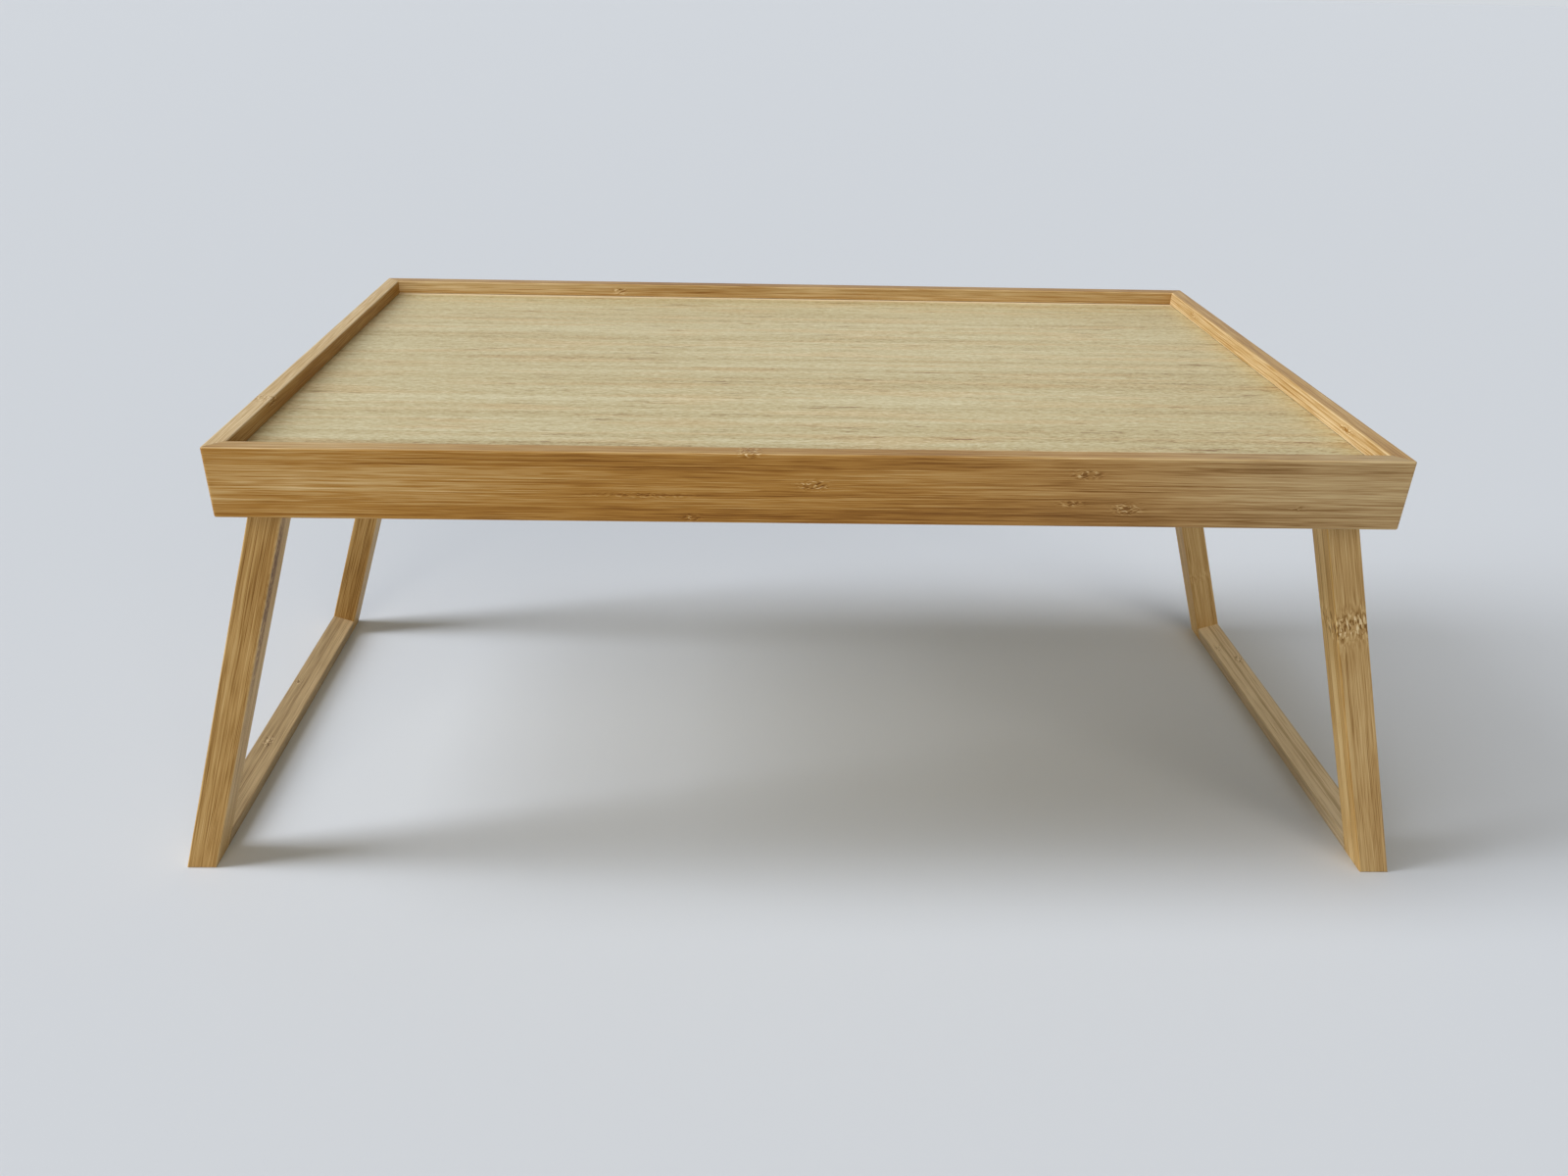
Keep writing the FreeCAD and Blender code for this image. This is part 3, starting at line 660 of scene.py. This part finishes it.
def panel_veneer(name, node, seed):
    """Pale bamboo veneer: narrow strips along the tray, thin dark dashes, rosy patches, painted shade
    towards the right end and a painted highlight along the rear edge.
    """
    finish = Finish(name)
    grain = Grain(finish, middle_of(node), X_AXIS, Y_AXIS, seed)

    # strips, the painted shade at the right end and the painted highlight along the rear edge are straight,
    # so they are taken before the fibres wander
    strip = (grain.y / VENEER_STRIP).floor()
    strip_tone = finish.chance(strip + seed)
    strip_start = finish.chance(strip * 1.7 + seed + 0.5)
    strip_drift = finish.noise(grain.x / 150 + strip_start * 8, strip * 3.7, seed, detail=1.0)
    right_end_shade = ((grain.x - 225) / 90).bell()
    rear_edge_highlight = (grain.y - (half_sizes(node).y - 6.0)).rise(0.0, 0.4)

    grain.wander(0.6)
    grain.add_knots(VENEER_KNOTS[node])
    broad = grain.streaks(260, 14, detail=1.0)
    bands = grain.streaks(340, 2.8, detail=1.0)
    medium = grain.streaks(170, 1.2, detail=2.0)
    fine = grain.streaks(70, 0.50, detail=2.0, roughness=0.65)
    hair = grain.streaks(11, 0.30, detail=1.0, roughness=0.6)
    short = grain.streaks(2.6, 0.7, detail=1.0, roughness=0.6)
    dashes = grain.lines(14, 0.60, 0.63, 0.69)
    pale_lines = grain.lines(90, 0.9, 0.60, 0.74)
    gathered = grain.streaks(50, 7.0, detail=1.0).rise(0.56, 0.68)
    rosy = grain.streaks(90, 8.0, detail=1.0).rise(0.46, 0.68)
    hairs = grain.strokes()

    tone = 0.64 + strip_tone.swing(0.16) + strip_drift.swing(0.28) + broad.swing(0.38)
    tone = tone + bands.swing(0.34) + medium.swing(0.28) + fine.swing(0.46)
    # painted shade: the veneer is darker towards the right end
    tone = tone + hair.swing(0.95) + short.swing(1.25) - right_end_shade * 0.12
    tone = tone - dashes * (gathered * 0.62 + 0.01) + pale_lines * 0.10
    tone = tone + grain.in_knot * hairs * 0.26
    colour = finish.ramp(tone, PANEL_TONES)
    colour = finish.blend(rosy * 0.6, colour, finish.tinted(colour, ROSY_TINT))
    # painted highlight: a pale cream line along the rear edge, where the panel meets the rear rail
    colour = finish.blend(rear_edge_highlight * 0.8, colour, REAR_EDGE_HIGHLIGHT_COLOUR)
    roughness = 0.46 + fine.swing(0.28)
    height = fine * 0.5 + hair * 0.3 - dashes * gathered * 0.5 + grain.in_knot * hairs * 0.4
    return finish.surface(
        colour, roughness, height, depth=0.03,
        Coat_Weight=0.07, Coat_Roughness=0.30, IOR=1.45, Specular_IOR_Level=0.32,
    )


def plywood():
    """The core of the panel, seen only where an edge shows in a groove: three layers, crossed."""
    finish = Finish("panel_core_plywood")
    x, y, z = finish.place(middle_of("panel_core"))
    half_thick = half_sizes("panel_core").z
    grain = finish.noise(x / 40, y / 1.2, z / 0.4, detail=2.0)
    layers = [(0.0, 0.75), (0.34, 0.35), (0.67, 0.75)]
    layer = finish.ramp((z + half_thick) / (2 * half_thick), layers, "CONSTANT")
    colour = finish.ramp(layer * 0.6 + grain * 0.5, [(0.1, (0.24, 0.15, 0.07)), (0.9, (0.55, 0.41, 0.22))])
    return finish.surface(colour, 0.6 + grain.swing(0.2), grain, depth=0.05)


def panel_finishes():
    dress("panel_top_veneer", panel_veneer("panel_top_bamboo", "panel_top_veneer", 3.0))
    dress("panel_bottom_veneer", panel_veneer("panel_under_bamboo", "panel_bottom_veneer", 8.0))
    dress("panel_core", plywood())


# ---------------------------------------------------------------- metal and nylon

def zinc_steel():
    """Bright zinc plate, a little cloudy."""
    finish = Finish("zinc_steel")
    x, y, z = finish.place()
    cloud = finish.noise(x / 2.5, y / 2.5, z / 2.5, detail=3.0)
    grit = finish.noise(x / 0.25, y / 0.25, z / 0.25, detail=2.0)
    colour = finish.ramp(cloud, [(0.3, (0.50, 0.51, 0.53)), (0.7, (0.70, 0.71, 0.72))])
    roughness = 0.24 + cloud * 0.16 + grit.swing(0.1)
    return finish.surface(colour, roughness, grit + cloud, depth=0.01, Metallic=1.0)


def sleeve_nylon():
    """Undyed nylon, a little uneven in colour."""
    finish = Finish("sleeve_nylon")
    x, y, z = finish.place()
    cloud = finish.noise(x / 3, y / 3, z / 3, detail=2.0)
    grit = finish.noise(x / 0.3, y / 0.3, z / 0.3, detail=1.0)
    colour = finish.ramp(cloud, [(0.3, (0.68, 0.66, 0.58)), (0.7, (0.78, 0.76, 0.69))])
    roughness = 0.44 + cloud.swing(0.2)
    return finish.surface(colour, roughness, grit, depth=0.015, Subsurface_Weight=0.1, IOR=1.52)


def fastener_finishes(steel):
    nylon = sleeve_nylon()
    for side_word in SIDES:
        dress(f"{side_word}_pivot_screws", steel)
        dress(f"{side_word}_pivot_washers", steel)
        dress(f"{side_word}_pivot_sleeves", nylon)


# ---------------------------------------------------------------- pivot screws

SCREW = {
    # a pan head screw, smooth where it turns in the leg and threaded where it bites
    "Head Radius": 4.5 * MM,
    "Head Height": 2.6 * MM,
    "Shank Radius": 2.5 * MM,
    "Shank Length": 16.2 * MM,
    "Thread Radius": 2.1 * MM,
    "Thread Depth": 0.55 * MM,
    "Thread Length": 14.0 * MM,
    "Thread Pitch": 1.75 * MM,
    "Point Length": 2.5 * MM,
    "Slot Length": 4.8 * MM,
    "Slot Width": 1.1 * MM,
    "Slot Depth": 1.4 * MM,
}
SCREW_SIDES = 28
SCREW_RINGS = 150
SCREW_TURN_SEED = 7
# what the crown's rounding takes from the square of the head's radius, and the blunt tip's share of the core
CROWN_FALL = 0.42
BLUNT_TIP = 0.04


class ScrewTree(Nodes):
    """A geometry tree that puts a screw on each point, with a named input for each of its sizes."""

    def __init__(self, sizes):
        super().__init__(bpy.data.node_groups.new("pivot_screws", "GeometryNodeTree"))
        self.tree.is_modifier = True
        face = self.tree.interface
        face.new_socket("Points", in_out="INPUT", socket_type="NodeSocketGeometry")
        self.identifiers = {}
        for size in sizes:
            socket = face.new_socket(size, in_out="INPUT", socket_type="NodeSocketFloat")
            self.identifiers[size] = socket.identifier
        face.new_socket("Screws", in_out="OUTPUT", socket_type="NodeSocketGeometry")
        self.inputs = self.node("NodeGroupInput")

    def given(self, name):
        """One of the tree's named inputs."""
        return self.inputs.beside(name)


def screw_body(tree):
    """The turned screw: a fine tube whose rings are pulled to the screw's outline.

    Its axis is z: the head's underside lies at 0 and the point ahead of it.
    """
    size = tree.given
    ahead = size("Shank Length") + size("Thread Length")
    length = ahead + size("Head Height")
    tube = tree.node(
        "GeometryNodeMeshCylinder", {"fill_type": "TRIANGLE_FAN"},
        {"Vertices": SCREW_SIDES, "Side Segments": SCREW_RINGS, "Radius": 1.0, "Depth": length},
    )
    x, y, z = tree.split(tree.node("GeometryNodeInputPosition"))
    along = z + length / 2 - size("Head Height")

    # the crown of the head is a flat dome
    up_head = (-along / size("Head Height")).larger(0.0).smaller(1.0)
    head = size("Head Radius") * (1 - up_head * up_head * CROWN_FALL).root()
    # the thread climbs round the core and fades where it starts
    rise = (along / size("Thread Pitch") - y.turn_from(x) + 0.5).fraction()
    ridge = ((1 - abs(rise * 2 - 1)) * 1.5 - 0.35).larger(0.0).smaller(1.0)
    started = (along - size("Shank Length")).rise(0.2 * MM, 1.6 * MM)
    to_point = (ahead - along) / size("Point Length")
    core = size("Thread Radius") - size("Thread Depth") + ridge * started * size("Thread Depth")
    threaded = core * to_point.larger(BLUNT_TIP).smaller(1.0)
    on_shank = (size("Shank Length") - along).rise(-0.12 * MM, 0.12 * MM)
    on_head = (-along).rise(-0.11 * MM, 0.11 * MM)
    radius = threaded * (1 - on_shank) + size("Shank Radius") * on_shank
    radius = radius * (1 - on_head) + head * on_head
    pulled = tree.joined(x * radius, y * radius, along)
    body = tree.node("GeometryNodeSetPosition", None, {"Geometry": tube, "Position": pulled})

    # two crossed slots are cut into the crown
    slots = []
    for long_side, short_side in (("x", "y"), ("y", "x")):
        sides = {long_side: size("Slot Length"), short_side: size("Slot Width"), "z": size("Slot Depth") * 2}
        box = tree.node("GeometryNodeMeshCube", None, {"Size": tree.joined(**sides)})
        lift = tree.joined(z=-size("Head Height"))
        slots.append(tree.node("GeometryNodeTransform", None, {"Geometry": box, "Translation": lift}))
    return tree.node(
        "GeometryNodeMeshBoolean", {"operation": "DIFFERENCE", "solver": "EXACT"},
        {"Mesh 1": body, "Mesh 2": slots},
    )


def drive_screws(tree, steel):
    """Point a screw outwards at each point, turn each by chance and finish the tree."""
    screw = screw_body(tree)
    across = tree.split(tree.node("GeometryNodeInputPosition"))[1]
    facing = tree.node(
        "FunctionNodeAlignRotationToVector", {"axis": "Z"}, {"Vector": tree.joined(y=across.sign())}
    )
    driven = tree.node(
        "FunctionNodeRandomValue", {"data_type": "FLOAT"},
        {"Min_001": 0.0, "Max_001": math.tau, "Seed": SCREW_TURN_SEED}, output="Value_001",
    )
    spin = tree.node("FunctionNodeEulerToRotation", None, {"Euler": tree.joined(z=driven)})
    facing = tree.node(
        "FunctionNodeRotateRotation", {"rotation_space": "LOCAL"}, {"Rotation": facing, "Rotate By": spin}
    )
    placed = tree.node(
        "GeometryNodeInstanceOnPoints", None,
        {"Points": tree.given("Points"), "Instance": screw, "Rotation": facing},
    )
    real = tree.node("GeometryNodeRealizeInstances", None, {"Geometry": placed})
    dressed = tree.node("GeometryNodeSetMaterial", None, {"Geometry": real, "Material": steel})
    tree.node("NodeGroupOutput", None, {"Screws": dressed}, output=None)


def screw_points():
    """The middle of each head's underside."""
    points = []
    for side_word in SIDES:
        low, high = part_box(f"{side_word}_pivot_screws")
        pivot = pivot_of(side_word)
        underside = high[1] - SCREW["Shank Length"] - SCREW["Thread Length"]
        points += [(pivot[0], end * underside, pivot[2]) for end in ENDS.values()]
    return points


def make_pivot_screws(steel):
    """Four screws, each driven outwards through a leg into its cleat and rail."""
    tree = ScrewTree(SCREW)
    drive_screws(tree, steel)
    carrier = bpy.data.meshes.new("screw_points")
    carrier.from_pydata(screw_points(), [], [])
    holder = bpy.data.objects.new("screw_points", carrier)
    bpy.context.collection.objects.link(holder)
    modifier = holder.modifiers.new("screws", "NODES")
    modifier.node_group = tree.tree
    for size, identifier in tree.identifiers.items():
        modifier[identifier] = SCREW[size]
    evaluated = holder.evaluated_get(bpy.context.evaluated_depsgraph_get())
    mesh = bpy.data.meshes.new_from_object(evaluated)
    bpy.data.objects.remove(holder)
    mesh.name = "pivot_screw_set"
    for facet in mesh.polygons:
        facet.use_smooth = False
    screws = bpy.data.objects.new("pivot_screw_set", mesh)
    bpy.context.collection.objects.link(screws)
    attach(screws, "tray")
    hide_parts(*(f"{side_word}_pivot_screws" for side_word in SIDES))


# ---------------------------------------------------------------- floor, light and camera

FLOOR_COLOUR = (0.675, 0.705, 0.735, 1)
FLOOR_HALF_SIZE = 30.0
BACKDROP_COLOUR = (0.655, 0.685, 0.715, 1)
SKY_STRENGTH = 0.14
SKY_COLOUR = (1.0, 0.93, 0.80, 1)
# a tall soft light on the left, as four lamps one above the other, and a wide one in front;
# each lamp is how far it is raised and how strong it is
WINDOW = {
    "round": 186, "soft": 20, "colour": (0.955, 0.990, 1.070),
    "lamps": ((22, 1.15), (38, 1.06), (54, 0.46), (70, 0.58)),
}
FRONT = {"round": 282, "soft": 50, "colour": (1.04, 0.985, 0.89), "lamps": ((28, 1.06),)}

IMAGE_WIDTH = 1600
FOCAL_PIXELS = 1218.6
OPTICAL_CENTRE = (773.0, 617.1)
IMAGE_CENTRE = (800, 600)
SENSOR_WIDTH = 36.0
CAMERA_PLACE = (-0.0348, -0.6098, 0.4100)
CAMERA_LOOK = (0.0235, 0.8825, -0.4698)
CAMERA_RIGHT = (0.9997, -0.0164, 0.0191)


def make_floor():
    """A wide pale floor that takes the table's shadow."""
    half = FLOOR_HALF_SIZE
    corners = [(-half, -half, 0), (half, -half, 0), (half, half, 0), (-half, half, 0)]
    mesh = bpy.data.meshes.new("floor")
    mesh.from_pydata(corners, [], [(0, 1, 2, 3)])
    floor = bpy.data.objects.new("floor", mesh)
    bpy.context.collection.objects.link(floor)
    finish = Finish("pale_floor")
    mesh.materials.append(finish.surface(FLOOR_COLOUR, 0.6, Specular_IOR_Level=0.2))


def make_sky():
    """Weak even sky light; seen straight, mirrored or through glass, it is the pale backdrop."""
    world = bpy.data.worlds.new("studio")
    bpy.context.scene.world = world
    world.use_nodes = True
    studio = Nodes(world.node_tree)
    studio.tree.nodes.clear()
    camera_ray = studio.node("ShaderNodeLightPath", output="Is Camera Ray")
    glossy_ray = camera_ray.beside("Is Glossy Ray")
    glass_ray = camera_ray.beside("Is Transmission Ray")
    sky = studio.node("ShaderNodeBackground", None, {"Color": SKY_COLOUR, "Strength": SKY_STRENGTH})
    backdrop = studio.node("ShaderNodeBackground", None, {"Color": BACKDROP_COLOUR, "Strength": 1.0})
    seen = largest([camera_ray, glossy_ray, glass_ray])
    choice = studio.node("ShaderNodeMixShader", None, {"Fac": seen, 1: sky, 2: backdrop})
    studio.node("ShaderNodeOutputWorld", None, {"Surface": choice}, output=None)


def hang_lamp(name, light, raised, strength):
    """A distant soft lamp, at an angle round from the tray's right and raised from the floor."""
    lamp = bpy.data.lights.new(name, "SUN")
    lamp.energy = strength
    lamp.color = light["colour"]
    lamp.angle = math.radians(light["soft"])
    holder = bpy.data.objects.new(name, lamp)
    round_angle = math.radians(light["round"])
    raised_angle = math.radians(raised)
    level = math.cos(raised_angle)
    place = Vector((level * math.cos(round_angle), level * math.sin(round_angle), math.sin(raised_angle)))
    holder.rotation_euler = place.to_track_quat("Z", "Y").to_euler()
    bpy.context.collection.objects.link(holder)


def make_light():
    """The sky, a tall soft light from the left and a wide one from the front."""
    make_sky()
    for name, light in (("window", WINDOW), ("front", FRONT)):
        for number, (raised, strength) in enumerate(light["lamps"]):
            hang_lamp(f"{name}_{number}", light, raised, strength)


def make_camera():
    """The camera where the photograph was taken from, above and in front of the tray."""
    camera = bpy.data.cameras.new("camera")
    camera.sensor_width = SENSOR_WIDTH
    camera.lens = FOCAL_PIXELS * SENSOR_WIDTH / IMAGE_WIDTH
    camera.shift_x = (IMAGE_CENTRE[0] - OPTICAL_CENTRE[0]) / IMAGE_WIDTH
    camera.shift_y = (OPTICAL_CENTRE[1] - IMAGE_CENTRE[1]) / IMAGE_WIDTH
    camera.clip_end = 4 * FLOOR_HALF_SIZE
    look = Vector(CAMERA_LOOK).normalized()
    right = (Vector(CAMERA_RIGHT) - look * look.dot(Vector(CAMERA_RIGHT))).normalized()
    up = right.cross(look)
    holder = bpy.data.objects.new("camera", camera)
    holder.matrix_world = Matrix.Translation(CAMERA_PLACE) @ Matrix((right, up, -look)).transposed().to_4x4()
    bpy.context.collection.objects.link(holder)
    bpy.context.scene.camera = holder


# ---------------------------------------------------------------- the table in its scene

bpy.context.scene.view_settings.view_transform = "Standard"
rail_finishes()
leg_finishes()
foot_bar_finishes()
cleat_finishes()
corner_spline_finish()
panel_finishes()
steel = zinc_steel()
fastener_finishes(steel)
make_pivot_screws(steel)
make_floor()
make_light()
make_camera()
